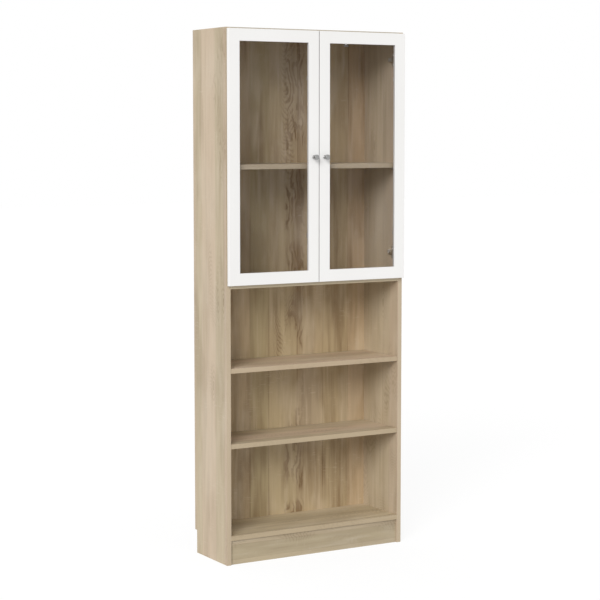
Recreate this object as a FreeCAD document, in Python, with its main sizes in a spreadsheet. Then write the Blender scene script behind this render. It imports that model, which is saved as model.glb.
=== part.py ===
import FreeCAD, Part
import os
import re
import Sketcher

# A tall bookcase of oak-decor board: a glazed cupboard with two framed doors above, three open
# bays below, a recessed plinth, and sides that are notched at the foot to clear a skirting board.
# X runs along the width, Y from front to back and Z up, in millimetres. The origin is on the
# floor, at the middle of the whole object's footprint, doors and knobs included.

# ---------------------------------------------------------------------------------------------
# Driving dimensions: alias, value and meaning. A count of pitches is a plain number.
# ---------------------------------------------------------------------------------------------
SIZES = (
    ("width", 788, "outside of one side panel to the outside of the other"),
    ("height", 2030, "floor to the top of the case"),
    ("depth", 267, "front edge to rear edge of a side panel"),
    ("board", 18, "thickness of every board of the case"),
    ("plinth_height", 94, "floor to the underside of the bottom shelf"),
    ("plinth_setback", 8, "plinth face behind the front edges"),
    ("notch_depth", 16, "skirting notch, along Y"),
    ("notch_height", 90, "skirting notch, along Z"),
    ("system_pitch", 32, "pitch of the cabinet drilling grid"),
    ("system_setback", 37, "first row of the grid behind the front edge"),
    ("rear_row_steps", 5, "pitches from the front row to the rear row"),
    ("lower_bay_steps", 11, "pitches from the bottom shelf to the low open shelf"),
    ("middle_bay_steps", 9, "pitches from the low open shelf to the high one"),
    ("upper_bay_steps", 10, "pitches from the high open shelf to the divider"),
    ("glazed_bay_steps", 14, "pitches from the divider to the shelf behind the glass"),
    ("shelf_setback", 2, "loose shelf behind the front edges"),
    ("shelf_end_gap", 1, "loose shelf to a side panel, at each end"),
    ("shelf_back_gap", 2, "loose shelf to the back panel"),
    ("back_thickness", 3, "hardboard back"),
    ("back_inset", 14, "rear edge of a side to the back panel"),
    ("groove_depth", 7, "groove that takes the edge of the back panel"),
    ("groove_play", 0.4, "width of that groove beyond the panel's thickness"),
    ("edge_play", 1, "edge of a back panel to the bottom of its groove"),
    ("bore_play", 0.1, "radius of a drilled hole beyond that of what fills it"),
    ("bore_relief", 1, "depth of a drilled hole beyond the end of what fills it"),
    ("dowel_radius", 4, "wooden dowel"),
    ("dowel_in_side", 10, "length of a dowel inside a side panel"),
    ("dowel_in_end", 20, "length of a dowel inside the end of a panel"),
    ("plinth_dowel_edge", 26, "plinth dowel from the plinth's upper or lower edge"),
    ("cam_radius", 7.5, "cam lock"),
    ("cam_height", 13.5, "cam lock, below the face of its panel"),
    ("cam_inset", 24, "centre of a cam lock from the end of its panel"),
    ("cam_mouth", 7, "width of the mouth in a cam lock that takes the bolt's head"),
    ("bolt_radius", 3, "cam bolt"),
    ("bolt_in_side", 11, "length of a cam bolt inside a side panel"),
    ("pin_radius", 2.5, "shelf pin inside its hole"),
    ("pin_in_side", 8, "length of a shelf pin inside a side panel"),
    ("pin_head_radius", 3.5, "head of a shelf pin, which carries the shelf"),
    ("pin_reach", 9, "that head beyond the face of a side panel"),
    ("bracket_inset", 90, "wall bracket from the inner face of a side"),
    ("bracket_width", 20, "wall bracket, along X"),
    ("bracket_leg", 30, "each leg of a wall bracket"),
    ("bracket_thickness", 2, "steel of a wall bracket"),
    ("bracket_hole_radius", 2.75, "hole for the wall screw"),
    ("bracket_hole_drop", 20, "hole for the wall screw below the top panel"),
    ("door_reveal", 3, "outer edge of a door from the outside of the case"),
    ("door_split", 3, "gap between the two doors"),
    ("door_gap", 2, "back of a closed door to the front edges"),
    ("door_thickness", 18, "door frame, along Y"),
    ("door_top_drop", 5, "top of the doors below the top of the case"),
    ("door_overlap", 5, "doors below the upper face of the divider"),
    ("stile_width", 46, "face width of each member of a door frame"),
    ("frame_round", 1.2, "rounding of the front edges of a door frame"),
    ("rebate_width", 6, "rebate behind the window, past its edge"),
    ("glass_setback", 11, "glass behind the front of the frame"),
    ("glass_thickness", 4, "pane"),
    ("glass_play", 0.5, "edge of the pane to the wall of its rebate"),
    ("clip_step", 79, "stile clip from the middle of the hinge level that is nearest"),
    ("clip_length", 16, "glass clip along the edge of the window"),
    ("clip_land", 9, "glass clip on the frame, past the rebate"),
    ("clip_lap", 4, "glass clip over the pane, inside the wall of the rebate"),
    ("clip_thickness", 1.4, "glass clip behind the frame"),
    ("knob_inset", 23, "knob from the meeting edge of its door"),
    ("knob_projection", 25, "knob in front of the frame"),
    ("knob_radius", 9.8, "head of the knob"),
    ("knob_head", 12, "head of the knob, along Y"),
    ("knob_neck_radius", 5.2, "narrowest part of the knob"),
    ("knob_foot_radius", 7.4, "foot of the knob on the frame"),
    ("knob_foot", 2.4, "foot of the knob, along Y"),
    ("knob_bevel", 1.4, "bevel of the knob's rim, along its face and along Y"),
    ("bumper_size", 8, "soft stop on the back of a door, along X and Z"),
    ("bumper_inset", 60, "middle of a soft stop from the meeting edge of its door"),
    ("bumper_edge", 5, "middle of a soft stop from the upper or lower edge of its door"),
    ("hinge_inset", 100, "middle of a hinge from the upper or lower edge of its door"),
    ("pivot_inset", 8.2, "hinge pin from the outer edge of its door"),
    ("pivot_depth", 10.5, "hinge pin in front of the back of its door"),
    ("hinge_pin_radius", 1.2, "hinge pin"),
    ("hinge_pin_length", 18, "hinge pin, along Z"),
    ("hinge_play", 0.05, "radius of the eye of an arm beyond that of its pin"),
    ("eye_radius", 2.3, "outside of the eye that turns on the pin"),
    ("corner_round", 3, "rounding that lets the hinge side of a door turn past the case"),
    ("cup_inset", 21, "centre of a hinge cup from the outer edge of its door"),
    ("cup_radius", 17.5, "hinge cup"),
    ("cup_depth", 14, "hinge cup inside the door"),
    ("cup_floor", 0.8, "floor of the cup under its slot"),
    ("cup_slot", 11.2, "slot of the cup that the arm swings in, along Z"),
    ("cup_slot_wall", 1.9, "end of that slot from the side of the cup"),
    ("cup_dish_radius", 15, "round dish in the mouth of the cup"),
    ("cup_dish_depth", 4, "that dish below the back of the door"),
    ("wing_thickness", 1.2, "wings of the cup on the back of the door"),
    ("wing_span", 58, "wings of the cup, along Z"),
    ("wing_near", 1, "wings from the centre of the cup, towards the outer edge"),
    ("wing_far", 13, "wings from the centre of the cup, the other way"),
    ("arm_standoff", 6.8, "underside of the arm from the inner face of the side"),
    ("arm_thickness", 2.4, "steel of the arm"),
    ("arm_neck", 10, "neck of the arm, along Z"),
    ("arm_width", 16, "channel of the arm, along Z"),
    ("arm_wall", 1.4, "sides of that channel"),
    ("arm_start", 12, "front end of the channel behind the front edges"),
    ("arm_end", 64, "rear end of the channel behind the front edges"),
    ("ridge_play", 0.3, "ridge of the mounting plate to the sides of the arm"),
    ("plate_thickness", 2, "wings of the mounting plate"),
    ("plate_span", 50, "mounting plate, along Z"),
    ("plate_length", 18, "wings of the mounting plate, along Y"),
)

document = FreeCAD.newDocument("Bookcase")
sheet = document.addObject("Spreadsheet::Sheet", "Sizes")
for row, (alias, value, meaning) in enumerate(SIZES, start=1):
    sheet.set(f"A{row}", alias)
    sheet.set(f"B{row}", str(value))
    sheet.set(f"C{row}", meaning)
    sheet.setAlias(f"B{row}", alias)
document.recompute()

ALIASES = {alias for alias, value, meaning in SIZES}


def linked(formula):
    """The formula with each alias written in full, as other objects of the document need it."""
    return re.sub(r"[a-z][a-z_]*", lambda word: "Sizes." * (word[0] in ALIASES) + word[0], formula)


def measure(formula):
    """The number that a formula gives with the sheet as it stands."""
    return float(sheet.evalExpression(linked(formula)))


# ---------------------------------------------------------------------------------------------
# Shared places, each a formula in the aliases
# ---------------------------------------------------------------------------------------------
FRONT = "((knob_projection + door_thickness + door_gap - depth) / 2)"
REAR = f"({FRONT} + depth)"
INSIDE = "(width / 2 - board)"
BACK_FACE = f"({REAR} - back_inset - back_thickness)"
BACK_REAR = f"({REAR} - back_inset)"
FRONT_ROW = f"({FRONT} + system_setback)"
REAR_ROW = f"({FRONT_ROW} + rear_row_steps * system_pitch)"
DOWEL_ROWS = (f"({FRONT_ROW} + system_pitch)", f"({REAR_ROW} - system_pitch)")
BOLT_ROWS = (FRONT_ROW, REAR_ROW)

LOW_SHELF = "(plinth_height + lower_bay_steps * system_pitch)"
HIGH_SHELF = f"({LOW_SHELF} + middle_bay_steps * system_pitch)"
DIVIDER = f"({HIGH_SHELF} + upper_bay_steps * system_pitch)"
GLAZED_SHELF = f"({DIVIDER} + glazed_bay_steps * system_pitch)"
TOP = "(height - board)"
FIXED_LEVELS = ("plinth_height", DIVIDER, TOP)
LOOSE_LEVELS = (LOW_SHELF, HIGH_SHELF, GLAZED_SHELF)

PLINTH_MIDDLE = f"({FRONT} + plinth_setback + board / 2)"
PLINTH_DOWELS = ("plinth_dowel_edge", "(plinth_height - plinth_dowel_edge)")

# A door, on the left: its X values are negative, and the right door mirrors it.
DOOR_OUTER = "(door_reveal - width / 2)"
DOOR_INNER = "(0 - door_split / 2)"
DOOR_LOW = f"({DIVIDER} + board - door_overlap)"
DOOR_HIGH = "(height - door_top_drop)"
DOOR_MIDDLE = f"(({DOOR_LOW} + {DOOR_HIGH}) / 2)"
DOOR_REAR = f"({FRONT} - door_gap)"
DOOR_FACE = f"({DOOR_REAR} - door_thickness)"
WINDOW = (
    f"({DOOR_OUTER} + stile_width)",
    f"({DOOR_INNER} - stile_width)",
    f"({DOOR_LOW} + stile_width)",
    f"({DOOR_HIGH} - stile_width)",
)
WINDOW_CENTRE = f"(({WINDOW[0]} + {WINDOW[1]}) / 2)"
GLASS_FACE = f"({DOOR_FACE} + glass_setback)"
GLASS_REAR = f"({GLASS_FACE} + glass_thickness)"
KNOB_X = f"({DOOR_INNER} - knob_inset)"

# ---------------------------------------------------------------------------------------------
# Building blocks: sketches on a body's own origin planes, and what is raised or cut from them
# ---------------------------------------------------------------------------------------------
# The plane across each axis, and the way that its normal points along that axis
PLANES = {"x": ("YZ_Plane", 1), "y": ("XZ_Plane", -1), "z": ("XY_Plane", 1)}
CENTRE = (-1, 1)
# A corner of an octagon from the middle of its flat, over the flat's distance from the centre
OCTAGON_CORNER = 0.41421


def body(label):
    """An empty body, which becomes one named sub-part."""
    new = document.addObject("PartDesign::Body", label)
    new.Label = label
    return new


def bind(sketch, kind, place, formula):
    """Constrain a place in a sketch to a formula, from the sketch's centre where it is a distance."""
    value = measure(formula)
    origin = () if kind == "Radius" else CENTRE
    number = sketch.addConstraint(Sketcher.Constraint(kind, *origin, *place, value))
    sketch.setExpression(f"Constraints[{number}]", linked(formula))


def new_sketch(owner, axis, level, shift=("0", "0")):
    """A sketch across an axis at a level, with its centre moved by shift in its own plane."""
    role, sign = PLANES[axis]
    sketch = owner.newObject("Sketcher::SketchObject", f"{owner.Label}_sketch")
    plane = next(item for item in owner.Origin.OriginFeatures if item.Role == role)
    sketch.AttachmentSupport = [(plane, "")]
    sketch.MapMode = "FlatFace"
    offset = level if sign > 0 else f"0 - ({level})"
    for name, formula in zip("xyz", (*shift, offset)):
        sketch.setExpression(f"AttachmentOffset.Base.{name}", linked(formula))
    return sketch


def draw_polygon(sketch, corners):
    """A closed outline through corners, each a pair of formulas."""
    points = [FreeCAD.Vector(measure(across), measure(up), 0) for across, up in corners]
    first = sketch.GeometryCount
    for number, point in enumerate(points):
        sketch.addGeometry(Part.LineSegment(point, points[(number + 1) % len(points)]), False)
    for number, (across, up) in enumerate(corners):
        line = first + number
        following = first + (number + 1) % len(corners)
        sketch.addConstraint(Sketcher.Constraint("Coincident", line, 2, following, 1))
        bind(sketch, "DistanceX", (line, 1), across)
        bind(sketch, "DistanceY", (line, 1), up)


def draw_circle(sketch, across, up, radius):
    """A circle with its centre and radius given by formulas."""
    centre = FreeCAD.Vector(measure(across), measure(up), 0)
    circle = Part.Circle(centre, FreeCAD.Vector(0, 0, 1), measure(radius))
    number = sketch.addGeometry(circle, False)
    bind(sketch, "DistanceX", (number, 3), across)
    bind(sketch, "DistanceY", (number, 3), up)
    bind(sketch, "Radius", (number,), radius)


def draw(sketch, outlines):
    """Each outline: three formulas are a circle, anything else is a polygon."""
    for outline in outlines:
        if isinstance(outline[0], str):
            draw_circle(sketch, *outline)
        else:
            draw_polygon(sketch, outline)


def rectangle(left, right, low, high):
    return ((left, low), (right, low), (right, high), (left, high))


def raised(owner, axis, low, high, outlines):
    """Pad outlines from one level of an axis up to another."""
    sketch = new_sketch(owner, axis, low)
    draw(sketch, outlines)
    pad = owner.newObject("PartDesign::Pad", f"{owner.Label}_pad")
    pad.Profile = sketch
    pad.Reversed = PLANES[axis][1] < 0
    pad.setExpression("Length", linked(f"({high}) - ({low})"))
    return pad


def cut(owner, axis, low, high, outlines):
    """Pocket outlines from one level of an axis up to another."""
    sketch = new_sketch(owner, axis, low)
    draw(sketch, outlines)
    pocket = owner.newObject("PartDesign::Pocket", f"{owner.Label}_pocket")
    pocket.Profile = sketch
    pocket.Reversed = PLANES[axis][1] > 0
    pocket.setExpression("Length", linked(f"({high}) - ({low})"))
    return pocket


def turned(owner, axis, level, shift, outline):
    """Turn an outline, drawn across an axis, about the upright line through the sketch's centre."""
    sketch = new_sketch(owner, axis, level, shift)
    draw_polygon(sketch, outline)
    revolution = owner.newObject("PartDesign::Revolution", f"{owner.Label}_turning")
    revolution.Profile = sketch
    revolution.ReferenceAxis = (sketch, ["V_Axis"])
    return revolution


def mirrored(source, label):
    """The same piece on the other side of the case."""
    twin = document.addObject("Part::Mirroring", label)
    twin.Label = label
    twin.Source = source
    twin.Normal = FreeCAD.Vector(1, 0, 0)
    return twin


parts = []


def keep(item):
    """Add a finished piece to those that are written."""
    parts.append(item)
    return item


def both_ends(owner, features):
    """Repeat features on the other side of the case, across the body's own YZ plane."""
    plane = next(item for item in owner.Origin.OriginFeatures if item.Role == "YZ_Plane")
    mirror = owner.newObject("PartDesign::Mirrored", f"{owner.Label}_mirror")
    mirror.Originals = features
    mirror.MirrorPlane = (plane, [""])
    owner.Tip = mirror
    return mirror


def spots(rows, levels, radius):
    """A circle at every crossing of the rows with the levels."""
    return [(row, level, radius) for row in rows for level in levels]


def eight_sided(rows, levels, radius):
    """An octagon at every crossing, with its flats at a radius, for the many small pegs."""
    corner = f"(({radius}) * {OCTAGON_CORNER})"
    flat = f"({radius})"
    ring = ((flat, corner), (corner, flat))
    first, second = ring
    turns = (
        ("+", "+", first),
        ("+", "+", second),
        ("-", "+", second),
        ("-", "+", first),
        ("-", "-", first),
        ("-", "-", second),
        ("+", "-", second),
        ("+", "-", first),
    )
    return [
        tuple((f"{row} {east} {across}", f"{level} {north} {up}") for east, north, (across, up) in turns)
        for row in rows
        for level in levels
    ]


# ---------------------------------------------------------------------------------------------
# Side panels: full height, notched at the lower rear corner, drilled on the cabinet grid
# ---------------------------------------------------------------------------------------------
HINGE_LEVELS = (f"({DOOR_LOW} + hinge_inset)", f"({DOOR_HIGH} - hinge_inset)")
FIXED_MIDDLES = [f"({level} + board / 2)" for level in FIXED_LEVELS]
PIN_LEVELS = [f"({level} - pin_head_radius)" for level in LOOSE_LEVELS]


def drilled(owner, depth, circles):
    """Holes in the inner face of the left side panel, down to a depth."""
    return cut(owner, "x", f"0 - {INSIDE} - {depth}", f"0 - {INSIDE}", circles)


left_side = keep(body("left_side"))
notch = f"({REAR} - notch_depth)"
side_outline = (
    (FRONT, "0"),
    (notch, "0"),
    (notch, "notch_height"),
    (REAR, "notch_height"),
    (REAR, "height"),
    (FRONT, "height"),
)
raised(left_side, "x", "0 - width / 2", f"0 - {INSIDE}", [side_outline])
groove_top = f"({TOP} + groove_depth)"
groove_rear = f"({BACK_REAR} + groove_play)"
drilled(left_side, "groove_depth", [rectangle(BACK_FACE, groove_rear, "plinth_height", groove_top)])
drilled(
    left_side,
    "(bolt_in_side + bore_relief)",
    eight_sided(BOLT_ROWS, FIXED_MIDDLES, "bolt_radius + bore_play"),
)
drilled(
    left_side,
    "(dowel_in_side + bore_relief)",
    eight_sided(DOWEL_ROWS, FIXED_MIDDLES, "dowel_radius + bore_play")
    + eight_sided((PLINTH_MIDDLE,), PLINTH_DOWELS, "dowel_radius + bore_play"),
)
drilled(
    left_side,
    "(pin_in_side + bore_relief)",
    eight_sided(BOLT_ROWS, PIN_LEVELS, "pin_radius + bore_play"),
)
keep(mirrored(left_side, "right_side"))

# ---------------------------------------------------------------------------------------------
# Fixed panels between the sides: the top, the divider under the cupboard and the bottom shelf,
# each drawn up to the sides by cam locks from below and located by dowels
# ---------------------------------------------------------------------------------------------
CAM_X = f"({INSIDE} - cam_inset)"


def fixed_panel(label, level, rear):
    """A board between the sides, from the front edges back to rear."""
    panel = body(label)
    middle = f"({level} + board / 2)"
    end = f"0 - {INSIDE}"
    raised(panel, "z", level, f"{level} + board", [rectangle(end, INSIDE, FRONT, rear)])
    cams = spots((f"0 - {CAM_X}",), BOLT_ROWS, "cam_radius + bore_play")
    bolts = eight_sided(BOLT_ROWS, (middle,), "bolt_radius + bore_play")
    dowels = eight_sided(DOWEL_ROWS, (middle,), "dowel_radius + bore_play")
    holes = [
        cut(panel, "z", level, f"{level} + cam_height + bore_relief", cams),
        cut(panel, "x", end, f"0 - {CAM_X}", bolts),
        cut(panel, "x", end, f"0 - {INSIDE} + dowel_in_end + bore_relief", dowels),
    ]
    both_ends(panel, holes)
    return keep(panel)


bottom_shelf = fixed_panel("bottom_shelf", "plinth_height", BACK_FACE)
divider = fixed_panel("divider", DIVIDER, BACK_FACE)
top_panel = fixed_panel("top_panel", TOP, REAR)
cut(
    top_panel,
    "z",
    TOP,
    groove_top,
    [rectangle(f"0 - {INSIDE}", INSIDE, BACK_FACE, groove_rear)],
)

# ---------------------------------------------------------------------------------------------
# Plinth: a board under the bottom shelf, set back from the front edges, on dowels
# ---------------------------------------------------------------------------------------------
plinth = keep(body("plinth"))
plinth_face = f"({FRONT} + plinth_setback)"
plinth_front = rectangle(f"0 - {INSIDE}", INSIDE, "0", "plinth_height")
raised(plinth, "y", plinth_face, f"{plinth_face} + board", [plinth_front])
plinth_bores = cut(
    plinth,
    "x",
    f"0 - {INSIDE}",
    f"0 - {INSIDE} + dowel_in_end + bore_relief",
    eight_sided((PLINTH_MIDDLE,), PLINTH_DOWELS, "dowel_radius + bore_play"),
)
both_ends(plinth, [plinth_bores])

# ---------------------------------------------------------------------------------------------
# Loose shelves on four pins each
# ---------------------------------------------------------------------------------------------
LOOSE_END = f"({INSIDE} - shelf_end_gap)"
for label, level in zip(("low_shelf", "high_shelf", "glazed_shelf"), LOOSE_LEVELS):
    shelf = keep(body(label))
    plan = rectangle(
        f"0 - {LOOSE_END}",
        LOOSE_END,
        f"{FRONT} + shelf_setback",
        f"{BACK_FACE} - shelf_back_gap",
    )
    raised(shelf, "z", level, f"{level} + board", [plan])

shelf_pins = keep(body("shelf_pins"))
pin_shanks = raised(
    shelf_pins,
    "x",
    f"0 - {INSIDE} - pin_in_side",
    f"0 - {INSIDE}",
    eight_sided(BOLT_ROWS, PIN_LEVELS, "pin_radius"),
)
pin_heads = raised(
    shelf_pins,
    "x",
    f"0 - {INSIDE}",
    f"0 - {INSIDE} + pin_reach",
    eight_sided(BOLT_ROWS, PIN_LEVELS, "pin_head_radius"),
)
both_ends(shelf_pins, [pin_shanks, pin_heads])

# ---------------------------------------------------------------------------------------------
# Back: two sheets of hardboard in grooves, which meet behind the divider
# ---------------------------------------------------------------------------------------------
BACK_HALF = f"({INSIDE} + groove_depth - edge_play)"
BACK_JOINT = f"({DIVIDER} + board / 2)"
BRACKET_X = f"({INSIDE} - bracket_inset)"
BRACKET_HOLE = f"({TOP} - bracket_hole_drop)"
wall_holes = spots((f"0 - {BRACKET_X}", BRACKET_X), (BRACKET_HOLE,), "bracket_hole_radius")


def back_sheet(label, low, high):
    """A sheet of the back between two levels."""
    panel = keep(body(label))
    face = rectangle(f"0 - {BACK_HALF}", BACK_HALF, low, high)
    raised(panel, "y", BACK_FACE, BACK_REAR, [face])
    return panel


back_sheet("lower_back", "plinth_height + edge_play", BACK_JOINT)
upper_back = back_sheet("upper_back", BACK_JOINT, f"{groove_top} - edge_play")
cut(upper_back, "y", BACK_FACE, BACK_REAR, wall_holes)

# ---------------------------------------------------------------------------------------------
# Cam locks with the mouths that take the bolts, cam bolts and dowels
# ---------------------------------------------------------------------------------------------
cam_locks = keep(body("cam_locks"))
cam_features = []
for level in FIXED_LEVELS:
    discs = spots((f"0 - {CAM_X}",), BOLT_ROWS, "cam_radius")
    cam_features.append(raised(cam_locks, "z", level, f"{level} + cam_height", discs))
    mouths = [
        rectangle(
            f"0 - {CAM_X} - cam_radius - bore_relief",
            f"0 - {CAM_X} + bolt_radius",
            f"{row} - cam_mouth / 2",
            f"{row} + cam_mouth / 2",
        )
        for row in BOLT_ROWS
    ]
    mouth_low = f"{level} + (board - cam_mouth) / 2"
    cam_features.append(cut(cam_locks, "z", mouth_low, f"{level} + (board + cam_mouth) / 2", mouths))
both_ends(cam_locks, cam_features)

cam_bolts = keep(body("cam_bolts"))
bolts = raised(
    cam_bolts,
    "x",
    f"0 - {INSIDE} - bolt_in_side",
    f"0 - {CAM_X}",
    eight_sided(BOLT_ROWS, FIXED_MIDDLES, "bolt_radius"),
)
both_ends(cam_bolts, [bolts])

dowels = keep(body("dowels"))
pegs = raised(
    dowels,
    "x",
    f"0 - {INSIDE} - dowel_in_side",
    f"0 - {INSIDE} + dowel_in_end",
    eight_sided(DOWEL_ROWS, FIXED_MIDDLES, "dowel_radius")
    + eight_sided((PLINTH_MIDDLE,), PLINTH_DOWELS, "dowel_radius"),
)
both_ends(dowels, [pegs])

# ---------------------------------------------------------------------------------------------
# Wall brackets: two steel angles under the top panel, against the upper back, whose holes line
# up with holes in that back for the screws that hold the case to a wall
# ---------------------------------------------------------------------------------------------
wall_brackets = keep(body("wall_brackets"))
leg_front = f"({BACK_FACE} - bracket_leg)"
leg_foot = f"({TOP} - bracket_leg)"
angle = raised(
    wall_brackets,
    "x",
    f"0 - {BRACKET_X} - bracket_width / 2",
    f"0 - {BRACKET_X} + bracket_width / 2",
    [
        (
            (BACK_FACE, TOP),
            (BACK_FACE, leg_foot),
            (f"{BACK_FACE} - bracket_thickness", leg_foot),
            (f"{BACK_FACE} - bracket_thickness", f"{TOP} - bracket_thickness"),
            (leg_front, f"{TOP} - bracket_thickness"),
            (leg_front, TOP),
        )
    ],
)
wall_hole = cut(
    wall_brackets,
    "y",
    f"{BACK_FACE} - bracket_thickness",
    BACK_FACE,
    wall_holes[:1],
)
both_ends(wall_brackets, [angle, wall_hole])

# ---------------------------------------------------------------------------------------------
# Door frames: one routed board each, with a window, a rebate behind it for the pane, bores for
# the hinge cups and rounded front edges. The rear corner on the hinge side is rounded enough to
# turn past the side panel.
# ---------------------------------------------------------------------------------------------
CUP_X = f"({DOOR_OUTER} + cup_inset)"
PIVOT_X = f"({DOOR_OUTER} + pivot_inset)"
PIVOT_Y = f"({DOOR_REAR} - pivot_depth)"

REBATE = (
    f"({WINDOW[0]} - rebate_width)",
    f"({WINDOW[1]} + rebate_width)",
    f"({WINDOW[2]} - rebate_width)",
    f"({WINDOW[3]} + rebate_width)",
)
CLIP_LEVELS = (f"({HINGE_LEVELS[0]} + clip_step)", f"({HINGE_LEVELS[1]} - clip_step)")
# Each clip: the rebate wall that it stands at, the way out over the frame, the way in over the
# pane, its place along the wall, and whether that wall is a stile's
CLIPS = (
    [(REBATE[0], "-", "+", level, True) for level in CLIP_LEVELS]
    + [(REBATE[1], "+", "-", level, True) for level in CLIP_LEVELS]
    + [(REBATE[2], "-", "+", WINDOW_CENTRE, False), (REBATE[3], "+", "-", WINDOW_CENTRE, False)]
)


def clip_rectangles(outer, inner):
    """A rectangle for every clip, between two distances from its wall, each with its own way."""
    shapes = []
    for wall, away, towards, middle, on_stile in CLIPS:
        ways = {"out": away, "in": towards}
        first = f"{wall} {ways[outer[0]]} {outer[1]}"
        last = f"{wall} {ways[inner[0]]} {inner[1]}"
        start = f"{middle} - clip_length / 2"
        end = f"{middle} + clip_length / 2"
        shapes.append(
            rectangle(first, last, start, end) if on_stile else rectangle(start, end, first, last)
        )
    return shapes


def edges_where(shape, test):
    """Names of the edges of a shape whose two ends both pass a test."""
    return [
        f"Edge{number}"
        for number, edge in enumerate(shape.Edges, start=1)
        if all(test(vertex.Point) for vertex in edge.Vertexes)
    ]


def rounded(owner, base, test, radius):
    """Round the edges of a feature that a test picks."""
    document.recompute()
    fillet = owner.newObject("PartDesign::Fillet", f"{owner.Label}_round")
    fillet.Base = (base, edges_where(base.Shape, test))
    fillet.setExpression("Radius", linked(radius))
    return fillet


def near(first, second):
    return abs(first - second) < 1e-4


left_door_frame = keep(body("left_door_frame"))
raised(
    left_door_frame,
    "y",
    DOOR_FACE,
    DOOR_REAR,
    [rectangle(DOOR_OUTER, DOOR_INNER, DOOR_LOW, DOOR_HIGH)],
)
window_cut = cut(left_door_frame, "y", DOOR_FACE, DOOR_REAR, [rectangle(*WINDOW)])
front_round = rounded(
    left_door_frame,
    window_cut,
    lambda point: near(point.y, measure(DOOR_FACE)),
    "frame_round",
)
rounded(
    left_door_frame,
    front_round,
    lambda point: near(point.y, measure(DOOR_REAR)) and near(point.x, measure(DOOR_OUTER)),
    "corner_round",
)
cut(left_door_frame, "y", GLASS_FACE, DOOR_REAR, [rectangle(*REBATE)])
cut(
    left_door_frame,
    "y",
    f"{DOOR_REAR} - cup_depth - bore_play",
    DOOR_REAR,
    spots((CUP_X,), HINGE_LEVELS, "cup_radius + bore_play"),
)

# ---------------------------------------------------------------------------------------------
# Panes in their rebates, and the bent metal clips that hold them
# ---------------------------------------------------------------------------------------------
left_glass = keep(body("left_glass"))
pane = rectangle(
    f"{REBATE[0]} + glass_play",
    f"{REBATE[1]} - glass_play",
    f"{REBATE[2]} + glass_play",
    f"{REBATE[3]} - glass_play",
)
raised(left_glass, "y", GLASS_FACE, GLASS_REAR, [pane])

left_glass_clips = keep(body("left_glass_clips"))
clip_feet = clip_rectangles(("in", "glass_play"), ("in", "clip_lap"))
clip_plates = clip_rectangles(("out", "clip_land"), ("in", "clip_lap"))
clip_rear = f"({DOOR_REAR} + clip_thickness)"
raised(left_glass_clips, "y", GLASS_REAR, DOOR_REAR, clip_feet)
raised(left_glass_clips, "y", DOOR_REAR, clip_rear, clip_plates)

# ---------------------------------------------------------------------------------------------
# Knobs: turned metal, waisted behind a flat head with a bevelled rim
# ---------------------------------------------------------------------------------------------
left_knob = keep(body("left_knob"))
head_back = "(knob_head - knob_projection)"
turned(
    left_knob,
    "z",
    DOOR_MIDDLE,
    (KNOB_X, DOOR_FACE),
    (
        ("0", "0"),
        ("knob_foot_radius", "0"),
        ("knob_foot_radius", "0 - knob_foot"),
        ("knob_neck_radius", f"(2 * {head_back} - knob_foot * 3) / 5"),
        ("knob_neck_radius", f"(4 * {head_back} - knob_foot) / 5"),
        ("knob_radius - knob_bevel", head_back),
        ("knob_radius", f"{head_back} - knob_bevel"),
        ("knob_radius", "knob_bevel - knob_projection"),
        ("knob_radius - knob_bevel", "0 - knob_projection"),
        ("0", "0 - knob_projection"),
    ),
)

# ---------------------------------------------------------------------------------------------
# Soft stops: small pads on the back of a door that meet the top panel and the divider
# ---------------------------------------------------------------------------------------------
left_bumpers = keep(body("left_bumpers"))
BUMPER_LEVELS = (f"({DOOR_LOW} + bumper_edge)", f"({DOOR_HIGH} - bumper_edge)")
bumper_middle = f"{DOOR_INNER} - bumper_inset"
pads = [
    rectangle(
        f"{bumper_middle} - bumper_size / 2",
        f"{bumper_middle} + bumper_size / 2",
        f"{level} - bumper_size / 2",
        f"{level} + bumper_size / 2",
    )
    for level in BUMPER_LEVELS
]
raised(left_bumpers, "y", DOOR_REAR, FRONT, pads)

# ---------------------------------------------------------------------------------------------
# Concealed hinges, two to a door: a cup let into the back of the frame, a pin across its slot,
# a bent steel arm that turns on the pin, and the plate on the side panel that carries the arm
# ---------------------------------------------------------------------------------------------
SIDE_FACE = f"(0 - {INSIDE})"
ARM_FACE = f"({SIDE_FACE} + arm_standoff)"
ARM_BACK = f"({ARM_FACE} + arm_thickness)"
PLATE_FACE = f"({SIDE_FACE} + plate_thickness)"


def about(level, span):
    """The two levels of a span that is centred on a level."""
    return f"{level} - {span} / 2", f"{level} + {span} / 2"


left_hinge_cups = keep(body("left_hinge_cups"))
cup_bottom = f"({DOOR_REAR} - cup_depth)"
wing_rear = f"({DOOR_REAR} + wing_thickness)"
wings = [
    rectangle(f"{CUP_X} - wing_near", f"{CUP_X} + wing_far", *about(level, "wing_span"))
    for level in HINGE_LEVELS
]
slots = [
    rectangle(
        f"{CUP_X} - cup_radius + cup_slot_wall",
        f"{CUP_X} + cup_radius - cup_slot_wall",
        *about(level, "cup_slot"),
    )
    for level in HINGE_LEVELS
]
dishes = spots((CUP_X,), HINGE_LEVELS, "cup_dish_radius")
raised(left_hinge_cups, "y", cup_bottom, DOOR_REAR, spots((CUP_X,), HINGE_LEVELS, "cup_radius"))
raised(left_hinge_cups, "y", DOOR_REAR, wing_rear, wings)
cut(left_hinge_cups, "y", f"{cup_bottom} + cup_floor", wing_rear, slots)
cut(left_hinge_cups, "y", f"{DOOR_REAR} - cup_dish_depth", wing_rear, dishes)
pin_holes = [(PIVOT_X, PIVOT_Y, "hinge_pin_radius + hinge_play")]
for level in HINGE_LEVELS:
    cut(left_hinge_cups, "z", *about(level, "hinge_pin_length"), pin_holes)

left_hinge_pins = keep(body("left_hinge_pins"))
for level in HINGE_LEVELS:
    pins = [(PIVOT_X, PIVOT_Y, "hinge_pin_radius")]
    raised(left_hinge_pins, "z", *about(level, "hinge_pin_length"), pins)

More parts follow.
